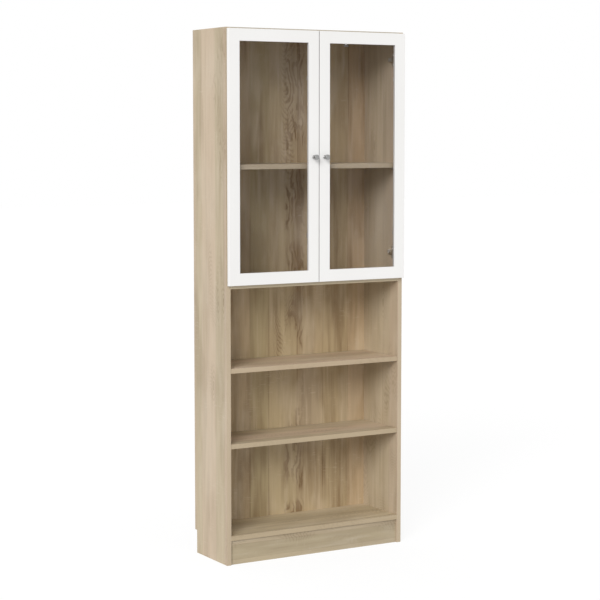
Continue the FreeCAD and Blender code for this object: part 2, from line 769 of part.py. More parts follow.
left_hinge_arms = keep(body("left_hinge_arms"))
neck_outline = (
    (PIVOT_X, f"{PIVOT_Y} - arm_thickness / 2"),
    (f"{ARM_BACK} - arm_thickness", f"{PIVOT_Y} - arm_thickness / 2"),
    (ARM_BACK, f"{PIVOT_Y} + arm_thickness / 2"),
    (ARM_BACK, f"{FRONT} + arm_start"),
    (ARM_FACE, f"{FRONT} + arm_start"),
    (ARM_FACE, f"{PIVOT_Y} + arm_thickness / 2"),
    (PIVOT_X, f"{PIVOT_Y} + arm_thickness / 2"),
)
channel_outline = rectangle(
    f"{PLATE_FACE} + ridge_play", ARM_BACK, f"{FRONT} + arm_start", f"{FRONT} + arm_end"
)
channel_inside = rectangle(
    PLATE_FACE, ARM_FACE, f"{FRONT} + arm_start - bore_relief", f"{FRONT} + arm_end + bore_relief"
)
for level in HINGE_LEVELS:
    raised(left_hinge_arms, "z", *about(level, "arm_neck"), [neck_outline])
    raised(left_hinge_arms, "z", *about(level, "arm_neck"), [(PIVOT_X, PIVOT_Y, "eye_radius")])
    raised(left_hinge_arms, "z", *about(level, "arm_width"), [channel_outline])
    cut(left_hinge_arms, "z", *about(level, "(arm_width - 2 * arm_wall)"), [channel_inside])
    cut(left_hinge_arms, "z", *about(level, "arm_neck"), pin_holes)

left_hinge_plates = keep(body("left_hinge_plates"))
plate_wings = [
    rectangle(
        f"{FRONT_ROW} - plate_length / 2",
        f"{FRONT_ROW} + plate_length / 2",
        *about(level, "plate_span"),
    )
    for level in HINGE_LEVELS
]
ridges = [
    rectangle(
        f"{FRONT} + arm_start",
        f"{FRONT} + arm_end",
        *about(level, "(arm_width - 2 * (arm_wall + ridge_play))"),
    )
    for level in HINGE_LEVELS
]
raised(left_hinge_plates, "x", SIDE_FACE, PLATE_FACE, plate_wings)
raised(left_hinge_plates, "x", SIDE_FACE, ARM_FACE, ridges)

# ---------------------------------------------------------------------------------------------
# The right door and its hinges mirror the left
# ---------------------------------------------------------------------------------------------
for item in [part for part in parts if part.Label.startswith("left_") and part is not left_side]:
    keep(mirrored(item, item.Label.replace("left_", "right_")))

# ---------------------------------------------------------------------------------------------
# Check every feature and write each sub-part to a file of its own
# ---------------------------------------------------------------------------------------------
document.recompute()
for item in document.Objects:
    if {"Invalid", "Error"} & set(item.State):
        raise RuntimeError(f"{item.Label} failed: {item.State}")
    if item.TypeId == "PartDesign::Pocket":
        before = item.BaseFeature.Shape.Volume
        if item.Shape.Volume > before - 1e-6:
            raise RuntimeError(f"{item.Label} cuts nothing")

os.makedirs("parts", exist_ok=True)
for item in parts:
    shape = item.Shape
    if shape.isNull() or not shape.isValid() or not shape.Solids:
        raise RuntimeError(f"{item.Label} has no valid solid")
    shape.exportStep(f"parts/{item.Label}.step")
    print(f"{item.Label}: {len(shape.Solids)} solid(s)")
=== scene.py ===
import math

import bpy
import numpy as np
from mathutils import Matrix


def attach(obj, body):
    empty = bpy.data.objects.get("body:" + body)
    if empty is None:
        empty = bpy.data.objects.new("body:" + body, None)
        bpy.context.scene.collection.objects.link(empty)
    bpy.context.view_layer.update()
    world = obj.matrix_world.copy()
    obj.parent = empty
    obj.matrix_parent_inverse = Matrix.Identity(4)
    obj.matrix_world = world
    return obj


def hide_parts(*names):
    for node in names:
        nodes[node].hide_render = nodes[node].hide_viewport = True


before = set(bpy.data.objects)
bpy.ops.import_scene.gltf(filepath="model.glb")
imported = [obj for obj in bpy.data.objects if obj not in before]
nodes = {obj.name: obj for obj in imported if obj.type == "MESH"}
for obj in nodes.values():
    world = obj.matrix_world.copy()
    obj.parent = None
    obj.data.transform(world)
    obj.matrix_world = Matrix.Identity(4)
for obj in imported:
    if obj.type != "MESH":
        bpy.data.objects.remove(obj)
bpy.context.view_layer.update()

# ------------------------------------------------------------------------------------------------
# Side panels. Two full-height boards of chipboard under a printed light oak decor whose grain
# runs upright, with a thin plastic edge band along the front and bare chipboard behind. They
# stand on the floor and carry everything else.
# ------------------------------------------------------------------------------------------------
CASE_FRONT = -0.111
CASE_REAR = 0.156
SIDE_SEEDS = {"left_side": 1.3, "right_side": 12.2}
SIDE_PLANK = 0.055
SIDE_CONTRAST = 0.75
SIDE_OAK = {
    "rose": (0.552, 0.432, 0.320, 1),
    "olive": (0.502, 0.416, 0.290, 1),
    "straw": (0.561, 0.468, 0.320, 1),
    "dark": (0.252, 0.185, 0.110, 1),
    "pale": (0.654, 0.572, 0.456, 1),
    "band": (0.494, 0.403, 0.282, 1),
}
CHIPBOARD = {
    "shade": (0.330, 0.225, 0.130, 1),
    "light": (0.640, 0.490, 0.320, 1),
    "flakes_per_metre": 210.0,
}
# The print's noises: features to a metre along the grain and across it, shift, detail, roughness
PRINT_NOISES = {
    "sway": (1.1, 3.0, 40, 0.0, 0.5),
    "joints": (1.9, 9.0, 47, 1.0, 0.5),
    "bands": (1.5, 17.0, 0, 3.0, 0.6),
    "streaks": (4.0, 62.0, 11, 3.0, 0.55),
    "fibres": (9.0, 430.0, 23, 2.0, 0.6),
    "clouds": (3.6, 9.0, 31, 3.0, 0.5),
    "middles": (0.7, 4.0, 52, 0.0, 0.5),
    "bends": (6.0, 19.0, 61, 3.0, 0.5),
    "flames": (3.4, 11.0, 71, 1.0, 0.5),
    "curls": (8.0, 17.0, 113, 3.0, 0.5),
    "curled_patches": (5.0, 7.0, 119, 1.0, 0.5),
    "pores": (34.0, 900.0, 83, 1.0, 0.5),
    "saw_marks": (230.0, 30.0, 97, 2.0, 0.5),
    "sawn_patches": (9.0, 11.0, 103, 1.0, 0.5),
}
# Where a noise starts to show as marks, and where it shows in full
PRINT_SLOPES = {
    "joints": (0.40, 0.60),
    "bands": (0.44, 0.66),
    "streaks": (0.50, 0.72),
    "clouds": (0.46, 0.66),
    "flames": (0.48, 0.62),
    "curled_patches": (0.38, 0.52),
    "pores": (0.60, 0.72),
    "saw_marks": (0.58, 0.70),
    "sawn_patches": (0.50, 0.62),
}
# How far the marks go towards the dark tint and the pale one, and how high they stand
DARK_SHARES = {
    "bands": 0.30,
    "streaks": 0.16,
    "figure": 0.26,
    "flames": 0.08,
    "dark_planks": 0.22,
    "joints": 0.34,
    "knot_rings": 0.34,
    "knot_hearts": 0.40,
}
PALE_SHARES = {"pale_streaks": 0.18, "saw_marks": 0.22, "clouds": 0.26}
RELIEF_SHARES = {"fibres": 0.5, "streaks": 0.5, "pores": -0.9, "saw_marks": 0.3, "joints": -0.4}


class Signal:
    """One output of a shader node. Arithmetic on it adds Math nodes to its tree."""

    def __init__(self, socket):
        self.socket = socket

    @classmethod
    def add(cls, tree, kind, settings=None, inputs=None, output=0):
        """Add a node of a kind: first its settings, then the values or links of its sockets."""
        node = tree.nodes.new(kind)
        for name, value in (settings or {}).items():
            setattr(node, name, value)
        for name, value in (inputs or {}).items():
            if isinstance(value, Signal):
                tree.links.new(value.socket, node.inputs[name])
            else:
                node.inputs[name].default_value = value
        return cls(node.outputs[output])

    def beside(self, output):
        """Another output of the same node."""
        return Signal(self.socket.node.outputs[output])

    def maths(self, operation, other=0.0, other_first=False):
        """A Math node on the signal and another signal or number, which may come first."""
        inputs = {0: other, 1: self} if other_first else {0: self, 1: other}
        settings = {"operation": operation}
        return Signal.add(self.socket.id_data, "ShaderNodeMath", settings, inputs)

    def __add__(self, other):
        return self.maths("ADD", other)

    __radd__ = __add__

    def __sub__(self, other):
        return self.maths("SUBTRACT", other)

    def __rsub__(self, other):
        return self.maths("SUBTRACT", other, other_first=True)

    def __mul__(self, other):
        return self.maths("MULTIPLY", other)

    __rmul__ = __mul__

    def __truediv__(self, other):
        return self.maths("DIVIDE", other)

    def wave(self, pitch):
        """The sine of the signal, with one full turn to a pitch."""
        return (self * (2 * math.pi / pitch)).maths("SINE")

    def between(self, low, high):
        """0 up to low, 1 from high on, and a smooth slope from one to the other."""
        settings = {"interpolation_type": "SMOOTHSTEP"}
        inputs = {"Value": self, "From Min": low, "From Max": high}
        return Signal.add(self.socket.id_data, "ShaderNodeMapRange", settings, inputs)


def new_material(name):
    """A material whose node tree holds only its output node."""
    material = bpy.data.materials.new(name)
    material.use_nodes = True
    material.node_tree.nodes.clear()
    output = material.node_tree.nodes.new("ShaderNodeOutputMaterial")
    return material, material.node_tree, output


def object_axes(tree):
    """The object's own X, Y and Z in metres, as three signals."""
    place = Signal.add(tree, "ShaderNodeTexCoord", output="Object")
    east = Signal.add(tree, "ShaderNodeSeparateXYZ", inputs={"Vector": place})
    return east, east.beside("Y"), east.beside("Z")


def noise(tree, spot, detail=2.0, roughness=0.5):
    """Noise from 0 to 1 at a spot given as three signals, one feature to a unit."""
    vector = Signal.add(tree, "ShaderNodeCombineXYZ", inputs=dict(enumerate(spot)))
    inputs = {"Vector": vector, "Scale": 1.0, "Detail": detail, "Roughness": roughness}
    return Signal.add(tree, "ShaderNodeTexNoise", inputs=inputs)


def noise_by_rate(tree, axes, rates, detail=2.0, roughness=0.5):
    """Noise from 0 to 1 with a number of features to a metre along each of three axes."""
    spot = [axis * rate for axis, rate in zip(axes, rates)]
    return noise(tree, spot, detail, roughness)


def mixed(factor, first, second):
    """One colour turned into another by a factor."""
    inputs = {0: factor, 6: first, 7: second}
    tree = factor.socket.id_data
    return Signal.add(tree, "ShaderNodeMix", {"data_type": "RGBA"}, inputs, output=2)


def weighed(shares, **parts):
    """The sum of the parts, each times its share."""
    amounts = [part * shares[name] for name, part in parts.items()]
    return sum(amounts[1:], amounts[0])


def finish_with(tree, output, inputs, relief, depth):
    """A Principled shader on the output, with a bump whose full height is a depth in metres."""
    bump = Signal.add(
        tree, "ShaderNodeBump", inputs={"Height": relief, "Distance": depth, "Strength": 1.0}
    )
    shader = Signal.add(tree, "ShaderNodeBsdfPrincipled", inputs={**inputs, "Normal": bump})
    tree.links.new(shader.socket, output.inputs["Surface"])


SEED_SHIFT_ALONG = 3.17
EDGE_SLANT = 0.93
SWAY = 0.012
BEND = 0.16


class Board:
    """A printed board, whose axes in metres are signals: along the grain, moved on by the seed,
    across the grain, and through the thickness. The grain is X, or Z in an upright board. aside
    is across plus a slant through the thickness, so that the two faces and the edges differ."""

    def __init__(self, tree, grain, seed):
        self.tree = tree
        self.seed = seed
        self.noises = {}
        self.axes = object_axes(tree)
        east, north, up = self.axes
        if grain == "X":
            along, self.across, self.depth = east, north, up
        else:
            along, self.across, self.depth = up, east, north
        self.along = along + seed * SEED_SHIFT_ALONG
        self.aside = self.across + self.depth * EDGE_SLANT
        self.sway = self.swung("sway", SWAY)
        self.bend = self.swung("bends", BEND)

    def grained(self, name):
        """One of the print's noises, drawn out along the grain, from 0 to 1."""
        if name not in self.noises:
            along_rate, across_rate, shift, detail, roughness = PRINT_NOISES[name]
            spot = (
                self.along * along_rate,
                self.across * across_rate + (self.seed + shift),
                self.depth * across_rate,
            )
            self.noises[name] = noise(self.tree, spot, detail, roughness)
        return self.noises[name]

    def marks(self, name):
        """A noise of the print as marks: 0, then a smooth slope, then 1."""
        return self.grained(name).between(*PRINT_SLOPES[name])

    def swung(self, name, swing):
        """A noise of the print as a shift to both sides of 0, by half the swing at most."""
        return (self.grained(name) - 0.5) * swing


SEED_SHIFT_ACROSS = 7.3
PLANK_RANDOMNESS = 0.85
JOINT_EDGE = (0.004, 0.030)


def planks(board, width):
    """Planks are the cells of a line across the board, which sways along the grain. Returns three
    random amounts for each plank and the dark joints between planks, broken by noise."""
    line = (board.aside + board.sway) / width + board.seed * SEED_SHIFT_ACROSS
    values = {"W": line, "Scale": 1.0, "Randomness": PLANK_RANDOMNESS}
    cells = {"voronoi_dimensions": "1D", "feature": "F1"}
    edges = {"voronoi_dimensions": "1D", "feature": "DISTANCE_TO_EDGE"}
    tints = Signal.add(board.tree, "ShaderNodeTexVoronoi", cells, values, output="Color")
    amount = Signal.add(board.tree, "ShaderNodeSeparateColor", inputs={"Color": tints})
    edge = Signal.add(board.tree, "ShaderNodeTexVoronoi", edges, values, output="Distance")
    joints = (1 - edge.between(*JOINT_EDGE)) * board.marks("joints")
    return amount, amount.beside("Green"), amount.beside("Blue"), joints


ARCH_DRIFT = 0.10
ARCH_BOW = 42.0
ARCH_PITCH = 0.021
ARCH_LINES = (-0.2, 0.9)


def arched_figure(board):
    """Arches are sine lines of the way along the grain less a parabola across it, bent by noise.
    Returns them, kept to flame-like patches, and the patches."""
    off_middle = board.across + board.swung("middles", ARCH_DRIFT)
    arch = board.along - off_middle * off_middle * ARCH_BOW + board.bend
    flames = board.marks("flames")
    return arch.wave(ARCH_PITCH).between(*ARCH_LINES) * flames, flames


KNOTS_PER_METRE = (3.1, 11.0)
KNOT_DRIFT = 0.35
KNOT_CHOSEN = (0.78, 0.80)
KNOT_BEND = 1.8
KNOT_PITCH = 0.075
KNOT_LINES = (-0.3, 0.9)
KNOT_REACH = (0.05, 0.36)
KNOT_HEART = (0.015, 0.060)


def knots(board):
    """Knots are sine rings about scattered points, drawn out along the grain and bent by noise,
    in a few cells chosen at random. Returns the rings and the dark hearts."""
    along_rate, across_rate = KNOTS_PER_METRE
    drifted = board.aside * across_rate + board.swung("clouds", KNOT_DRIFT)
    spot = {0: board.along * along_rate, 1: drifted, 2: 0.0}
    vector = Signal.add(board.tree, "ShaderNodeCombineXYZ", inputs=spot)
    cells = {"voronoi_dimensions": "2D", "feature": "F1"}
    values = {"Vector": vector, "Scale": 1.0}
    away = Signal.add(board.tree, "ShaderNodeTexVoronoi", cells, values)
    values = {"Color": away.beside("Color")}
    chosen = Signal.add(board.tree, "ShaderNodeSeparateColor", inputs=values)
    chosen = chosen.between(*KNOT_CHOSEN)
    rings = (away + board.bend * KNOT_BEND).wave(KNOT_PITCH).between(*KNOT_LINES)
    rings = rings * (1 - away.between(*KNOT_REACH)) * chosen
    hearts = (1 - away.between(*KNOT_HEART)) * chosen
    return rings, hearts


CURL_SWING = 0.15
CURL_PITCH = 0.027
CURL_LINES = (-0.1, 0.9)
CURL_SHARE = 0.84
PATCH_TONE = 0.12
HEART_TONE = 0.12
HEART_EDGE = (0.024, 0.052)


def heart_plank(board, line):
    """A plank cut near the heart, about a line across the board: sine lines, bent so far by noise
    that they curl, in patches."""
    curls = (board.across + board.swung("curls", CURL_SWING)).wave(CURL_PITCH)
    curls = curls.between(*CURL_LINES) * CURL_SHARE + PATCH_TONE
    near = 1 - (board.across - line + board.sway).maths("ABSOLUTE").between(*HEART_EDGE)
    return near * (board.marks("curled_patches") * curls + HEART_TONE)


BLOTCH_RATES = (17.0, 17.0, 17.0)
CORE_SLOPE = (0.3, 0.7)
FLAKE_SHARE = 0.6
BLOTCH_SHARE = 0.4


def bare_core(board, core):
    """Bare chipboard or hardboard: fine noise for its flakes or fibres and broad noise for its
    blotches. Returns the colour and the flakes."""
    flake_rates = (core["flakes_per_metre"],) * 3
    flakes = noise_by_rate(board.tree, board.axes, flake_rates, detail=5.0, roughness=0.7)
    blotches = noise_by_rate(board.tree, board.axes, BLOTCH_RATES, detail=4.0, roughness=0.6)
    mottle = flakes.between(*CORE_SLOPE) * FLAKE_SHARE
    mottle = mottle + blotches.between(*CORE_SLOPE) * BLOTCH_SHARE
    return mixed(mottle, core["shade"], core["light"]), flakes


ROSE_PLANKS = (0.25, 0.75)
STRAW_PLANKS = (0.35, 0.9)
STRAW_SHARE = 0.7
PALE_STREAKS = (0.48, 0.30)
PORE_TONE = 0.10
FIBRE_TONE = 0.12
BAND_DEPTH = (0.0004, 0.0006)
BAND_SHARE = 0.7
SHEET_GAP = (0.0002, 0.0009)
GAP_SHARE = 0.75
BARE_BLEND = 0.0002
PRINT_ROUGHNESS = 0.50
STREAK_ROUGHNESS = 0.12
PORE_ROUGHNESS = 0.10
BARE_ROUGHNESS = 0.28
PRINT_SPECULAR = 0.35
PRINT_RELIEF = 0.00012


def oak_decor(
    name,
    grain,
    seed,
    oak,
    contrast,
    plank,
    bare_behind,
    core,
    front=None,
    heart_line=None,
    sheets_meet=None,
):
    """Printed light oak: a row of planks, random in width and tint, with streaks along the grain,
    arched figure, a few knots, fine pores, and short pale saw marks across the grain. front is
    the Y of a banded front edge, and bare_behind the Y from which the board shows its bare core.
    heart_line is the place across the board of a heart plank, and sheets_meet the level of the
    fine dark line where two sheets meet behind."""
    material, tree, output = new_material(name)
    board = Board(tree, grain, seed)
    _, north, up = board.axes
    rose, straw, tone, joints = planks(board, plank)
    figure, flames = arched_figure(board)
    rings, hearts = knots(board)
    streaks = board.grained("streaks")
    pores = board.marks("pores")
    saw_marks = board.marks("saw_marks") * board.marks("sawn_patches")

    colour = mixed(rose.between(*ROSE_PLANKS), oak["olive"], oak["rose"])
    colour = mixed(straw.between(*STRAW_PLANKS) * STRAW_SHARE, colour, oak["straw"])
    dark = weighed(
        DARK_SHARES,
        bands=board.marks("bands"),
        streaks=board.marks("streaks"),
        figure=figure,
        flames=flames,
        dark_planks=1 - tone,
        joints=joints,
        knot_rings=rings,
        knot_hearts=hearts,
    )
    if heart_line is not None:
        dark = dark + heart_plank(board, heart_line)
    dark = dark * contrast + pores * PORE_TONE + board.swung("fibres", FIBRE_TONE)
    colour = mixed(dark, colour, oak["dark"])
    pale = weighed(
        PALE_SHARES,
        pale_streaks=streaks.between(*PALE_STREAKS),
        saw_marks=saw_marks,
        clouds=board.marks("clouds"),
    )
    colour = mixed(pale * contrast, colour, oak["pale"])
    if front is not None:
        band = 1 - (north - front).between(*BAND_DEPTH)
        colour = mixed(band * BAND_SHARE, colour, oak["band"])
    relief = weighed(
        RELIEF_SHARES,
        fibres=board.grained("fibres"),
        streaks=streaks,
        pores=pores,
        saw_marks=saw_marks,
        joints=joints,
    )
    rough = PRINT_ROUGHNESS + board.swung("streaks", STREAK_ROUGHNESS) + pores * PORE_ROUGHNESS

    core_colour, flakes = bare_core(board, core)
    if sheets_meet is not None:
        gap = 1 - (up - sheets_meet).maths("ABSOLUTE").between(*SHEET_GAP)
        core_colour = mixed(gap * GAP_SHARE, core_colour, oak["dark"])
    bare = (north - bare_behind).between(-BARE_BLEND, 0.0)
    looks = {
        "Base Color": mixed(bare, colour, core_colour),
        "Roughness": rough + bare * BARE_ROUGHNESS,
        "Specular IOR Level": PRINT_SPECULAR,
    }
    finish_with(tree, output, looks, relief * (1 - bare) + flakes * bare, PRINT_RELIEF)
    return material


def dress(node, material):
    """Give every material slot of a node of the frame one material."""
    mesh = nodes[node].data
    if not mesh.materials:
        mesh.materials.append(material)
    for number in range(len(mesh.materials)):
        mesh.materials[number] = material


for side, seed in SIDE_SEEDS.items():
    decor = oak_decor(
        f"oak_{side}",
        "Z",
        seed,
        SIDE_OAK,
        SIDE_CONTRAST,
        SIDE_PLANK,
        CASE_REAR,
        CHIPBOARD,
        front=CASE_FRONT,
    )
    dress(side, decor)

# ------------------------------------------------------------------------------------------------
# Fixed panels, plinth and loose shelves. Chipboard under a slightly deeper print of the decor,
# with its grain along the width and bands on the front edges of all but the plinth. Cams draw up
# the fixed panels, dowels hold the plinth, and the loose shelves lie on pins.
# ------------------------------------------------------------------------------------------------
SHELF_FRONT = CASE_FRONT + 0.002
SHELF_OAK = {
    "rose": (0.610, 0.471, 0.342, 1),
    "olive": (0.505, 0.424, 0.278, 1),
    "straw": (0.620, 0.512, 0.348, 1),
    "dark": (0.270, 0.197, 0.118, 1),
    "pale": (0.700, 0.616, 0.492, 1),
    "band": (0.425, 0.335, 0.218, 1),
}
# The divider's band is lighter as painted light, against the shade of the door above it; the top
# panel's band is a greyer tint
PALE_AND_PAINTED_LIGHT_BANDS = {
    "top_panel": (0.470, 0.435, 0.365, 1),
    "divider": (0.630, 0.545, 0.375, 1),
}
SHELF_CONTRAST = 0.85
SHELF_PLANK = 0.090
PLINTH_PLANK = 0.045
PLINTH_TONE = 0.82
FIRST_SEED = 10.7
SEED_STEP = 2.9
# Each panel with the width of its planks, the Y of its banded front edge and its tone
BOARDS = (
    ("top_panel", SHELF_PLANK, CASE_FRONT, 1.0),
    ("divider", SHELF_PLANK, CASE_FRONT, 1.0),
    ("bottom_shelf", SHELF_PLANK, CASE_FRONT, 1.0),
    ("plinth", PLINTH_PLANK, None, PLINTH_TONE),
    ("low_shelf", SHELF_PLANK, SHELF_FRONT, 1.0),
    ("high_shelf", SHELF_PLANK, SHELF_FRONT, 1.0),
    ("glazed_shelf", SHELF_PLANK, SHELF_FRONT, 1.0),
)
for number, (panel, plank, front, tone) in enumerate(BOARDS):
    oak = {
        tint: tuple(part * tone for part in colour[:3]) + (1,)
        for tint, colour in SHELF_OAK.items()
    }
    oak["band"] = PALE_AND_PAINTED_LIGHT_BANDS.get(panel, oak["band"])
    decor = oak_decor(
        f"oak_{panel}",
        "X",
        FIRST_SEED + SEED_STEP * number,
        oak,
        SHELF_CONTRAST,
        plank,
        CASE_REAR,
        CHIPBOARD,
        front=front,
    )
    dress(panel, decor)

# ------------------------------------------------------------------------------------------------
# Back. Two sheets of hardboard in grooves of the sides and the top, printed with the decor in
# front and bare behind, and nailed from behind to the divider and the bottom shelf.
# ------------------------------------------------------------------------------------------------
BACK_MIDDLE = 0.1405
BACK_REAR = 0.142
NAIL_RADIUS = 0.0032
NAIL_HEAD = 0.0006
NAIL_ACROSS = (-0.300, -0.150, 0.0, 0.150, 0.300)
NAIL_LEVELS = (0.103, 1.058, 1.068)
HARDBOARD = {
    "shade": (0.190, 0.115, 0.060, 1),
    "light": (0.360, 0.240, 0.140, 1),
    "flakes_per_metre": 900.0,
}
BACK_OAK = {
    "rose": (0.588, 0.435, 0.278, 1),
    "olive": (0.462, 0.369, 0.209, 1),
    "straw": (0.550, 0.435, 0.264, 1),
    "dark": (0.237, 0.154, 0.077, 1),
    "pale": (0.660, 0.550, 0.396, 1),
}
BACK_SEED = 31.4
BACK_CONTRAST = 1.25
BACK_PLANK = 0.115
HEART_LINE = 0.045
SHEETS_MEET = 1.063
REAR_WAY = (0.0, 1.0, 0.0)
BRIGHT_STEEL = (0.66, 0.65, 0.63, 1)

decor = oak_decor(
    "oak_back",
    "Z",
    BACK_SEED,
    BACK_OAK,
    BACK_CONTRAST,
    BACK_PLANK,
    BACK_MIDDLE,
    HARDBOARD,
    heart_line=HEART_LINE,
    sheets_meet=SHEETS_MEET,
)
dress("upper_back", decor)
dress("lower_back", decor)


FINE_WEAR = 2600.0
BROAD_WEAR = (160.0, 160.0, 160.0)
DULLED = 0.62
DULL_START = 0.25
DULL_SHARE = 2.0
WEAR_RELIEF = 0.05
THREAD_RELIEF = 0.5
METAL_RELIEF = 0.0004


def metal(name, colour, roughness, brushed=(1.0, 1.0, 1.0), spread=0.10, thread=0.0):
    """Bare or plated metal. Noise, drawn out along the axes where brushed is small, shifts the
    colour and the roughness by a spread and gives a faint relief. Where thread is a pitch in
    metres, a sine of X over that pitch raises the thread of a bolt."""
    material, tree, output = new_material(name)
    axes = object_axes(tree)
    fine_rates = [rate * FINE_WEAR for rate in brushed]
    fine = noise_by_rate(tree, axes, fine_rates, detail=3.0, roughness=0.6)
    broad = noise_by_rate(tree, axes, BROAD_WEAR)
    wear = (fine - 0.5) * spread + (broad - 0.5) * spread
    dull = tuple(DULLED * part for part in colour[:3]) + (1,)
    values = {
        "Base Color": mixed(wear * DULL_SHARE + DULL_START, colour, dull),
        "Roughness": wear + roughness,
        "Metallic": 1.0,
    }
    relief = fine * WEAR_RELIEF
    if thread:
        relief = relief + axes[0].wave(thread) * THREAD_RELIEF
    finish_with(tree, output, values, relief, METAL_RELIEF)
    return material


def softened(corners, passes=3):
    """Corner cutting: each pass puts in place of every inner corner the two points a quarter of
    the way to its neighbours. The ends stay."""
    line = np.array(corners, float)
    for _ in range(passes):
        near = 0.75 * line[:-1] + 0.25 * line[1:]
        far = 0.25 * line[:-1] + 0.75 * line[1:]
        inner = np.stack([near, far], 1).reshape(-1, 2)
        line = np.vstack([line[:1], inner[1:-1], line[-1:]])
    return line


def evenly(line, count):
    """A line's points moved to equal steps of its length, by interpolation."""
    steps = np.hypot(*np.diff(line, axis=0).T)
    length = np.concatenate([[0.0], np.cumsum(steps)])
    wanted = np.linspace(0.0, length[-1], count)
    return np.stack([np.interp(wanted, length, part) for part in line.T], 1)


POLE = 0.0001
FACE_SHARE = 0.45
SLOT_EDGE = 0.7


def turned(corners, count, turns, cross=None):
    """Rings of a turned piece that faces its own Z: radius times cosine and sine of the turn,
    and the profile's height. corners are radii and heights from the middle of the face to that
    of the foot, where the pole is the small radius of the middle. cross is the half width, the
    reach and the depth of a driver's cross, which lowers the face by the depth times the larger
    of two crossed soft slots."""
    profile = evenly(softened(corners), count)
    turn = np.linspace(0.0, 2 * math.pi, turns, endpoint=False)
    across = profile[:, :1] * np.cos(turn)
    upward = profile[:, :1] * np.sin(turn)
    height = np.repeat(profile[:, 1:], turns, 1)
    if cross:
        width, reach, depth = cross
        edge = width * SLOT_EDGE

        def within(value, limit):
            """1 inside a limit, 0 past it by an edge, on a straight slope."""
            return np.clip((limit + edge - np.abs(value)) / edge, 0.0, 1.0)

        slots = np.maximum(
            within(across, width) * within(upward, reach),
            within(upward, width) * within(across, reach),
        )
        face = np.linspace(0.0, 1.0, count)[:, None] < FACE_SHARE
        height = height - depth * slots * face
    return np.stack([across, upward, height], 2)


def placed_copies(rings, places, way):
    """Copies of a piece, turned so that its own Z lies along a way, one at each place."""
    way = np.array(way, float)
    side = np.array((0.0, 0.0, 1.0)) if abs(way[2]) < 0.5 else np.array((1.0, 0.0, 0.0))
    basis = np.stack([side, np.cross(way, side), way])
    return [rings @ basis + np.array(place, float) for place in places]


SHARP_FROM = math.radians(38)


def closed_pieces(name, copies, material, body):
    """One mesh of several closed pieces. A piece is an array of rings by turns by 3: neighbouring
    rings are joined by quads, and fans to the mean points of its end rings close it. It rides on
    a body and takes the material it is given."""
    points, faces, start = [], [], 0
    for rings in copies:
        count, turns = rings.shape[:2]
        points += [rings.reshape(-1, 3), rings[:1].mean(1), rings[-1:].mean(1)]
        here = np.arange(turns)
        after = (here + 1) % turns
        row = (np.arange(count - 1) * turns)[:, None]
        quads = np.stack([row + here, row + turns + here, row + turns + after, row + after], 2)
        first_fan = np.stack([np.full(turns, count * turns), here, after], 1)
        end = (count - 1) * turns
        last_fan = np.stack([np.full(turns, count * turns + 1), end + after, end + here], 1)
        faces += (quads.reshape(-1, 4) + start).tolist()
        faces += (np.vstack([first_fan, last_fan]) + start).tolist()
        start += count * turns + 2
    mesh = bpy.data.meshes.new(name)
    mesh.from_pydata(np.vstack(points).tolist(), [], faces)
    mesh.shade_smooth()
    mesh.set_sharp_from_angle(angle=SHARP_FROM)
    mesh.materials.append(material)
    piece = bpy.data.objects.new(name, mesh)
    bpy.context.scene.collection.objects.link(piece)
    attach(piece, body)
    return piece


bright_steel = metal("bright_steel", BRIGHT_STEEL, roughness=0.32)
nail = turned(
    (
        (POLE, NAIL_HEAD),
        (0.8 * NAIL_RADIUS, NAIL_HEAD),
        (NAIL_RADIUS, 0.6 * NAIL_HEAD),
        (NAIL_RADIUS, 0.0),
        (POLE, 0.0),
    ),
    count=12,
    turns=24,
)
nail_places = [(east, BACK_REAR, level) for east in NAIL_ACROSS for level in NAIL_LEVELS]
closed_pieces(
    "back_nails", placed_copies(nail, nail_places, REAR_WAY), bright_steel, "case"
)

# ------------------------------------------------------------------------------------------------
# Cams, bolts and dowels. Die-cast zinc cams set in the underside of each fixed panel and turned
# with a driver, which draw up the heads of steel bolts in the sides. Beech dowels keep the
# panels level.
# ------------------------------------------------------------------------------------------------
CAM_RADIUS = 0.0075
CAM_HEIGHT = 0.0135
CAM_ACROSS = 0.352
CAM_ROWS = (-0.074, 0.086)
CAM_LEVELS = (0.094, 1.054, 2.012)
CAM_EDGE = 0.0006
CAM_CROSS = (0.0008, 0.0036, 0.0024)
THREAD_PITCH = 0.0015
CAST_ZINC = (0.56, 0.56, 0.57, 1)
YELLOW_STEEL = (0.60, 0.57, 0.47, 1)
BEECH = (0.660, 0.470, 0.290, 1)
BEECH_LINES = (0.480, 0.310, 0.170, 1)
BEECH_RATES = (40.0, 900.0, 900.0)
BEECH_ROUGHNESS = 0.6
FLUTE_RATES = (2.0, 1700.0, 1700.0)
FLUTE_ROUGHNESS = 0.1
FLUTE_RELIEF = 0.0004
DOWN = (0.0, 0.0, -1.0)

cam_alloy = metal("cam_alloy", CAST_ZINC, roughness=0.46, spread=0.22)
cam = turned(
    (
        (POLE, 0.0),
        (0.88 * CAM_RADIUS, 0.0),
        (CAM_RADIUS, -CAM_EDGE),
        (CAM_RADIUS, -CAM_HEIGHT),
        (POLE, -CAM_HEIGHT),
    ),
    count=64,
    turns=40,
    cross=CAM_CROSS,
)
cam_places = [
    (east, row, level)
    for east in (-CAM_ACROSS, CAM_ACROSS)
    for row in CAM_ROWS
    for level in CAM_LEVELS
]
cams = closed_pieces(
    "detailed_cams", placed_copies(cam, cam_places, DOWN), cam_alloy, "case"
)
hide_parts("cam_locks")

bolt_steel = metal("threaded_steel", YELLOW_STEEL, roughness=0.34, thread=THREAD_PITCH)
dress("cam_bolts", bolt_steel)

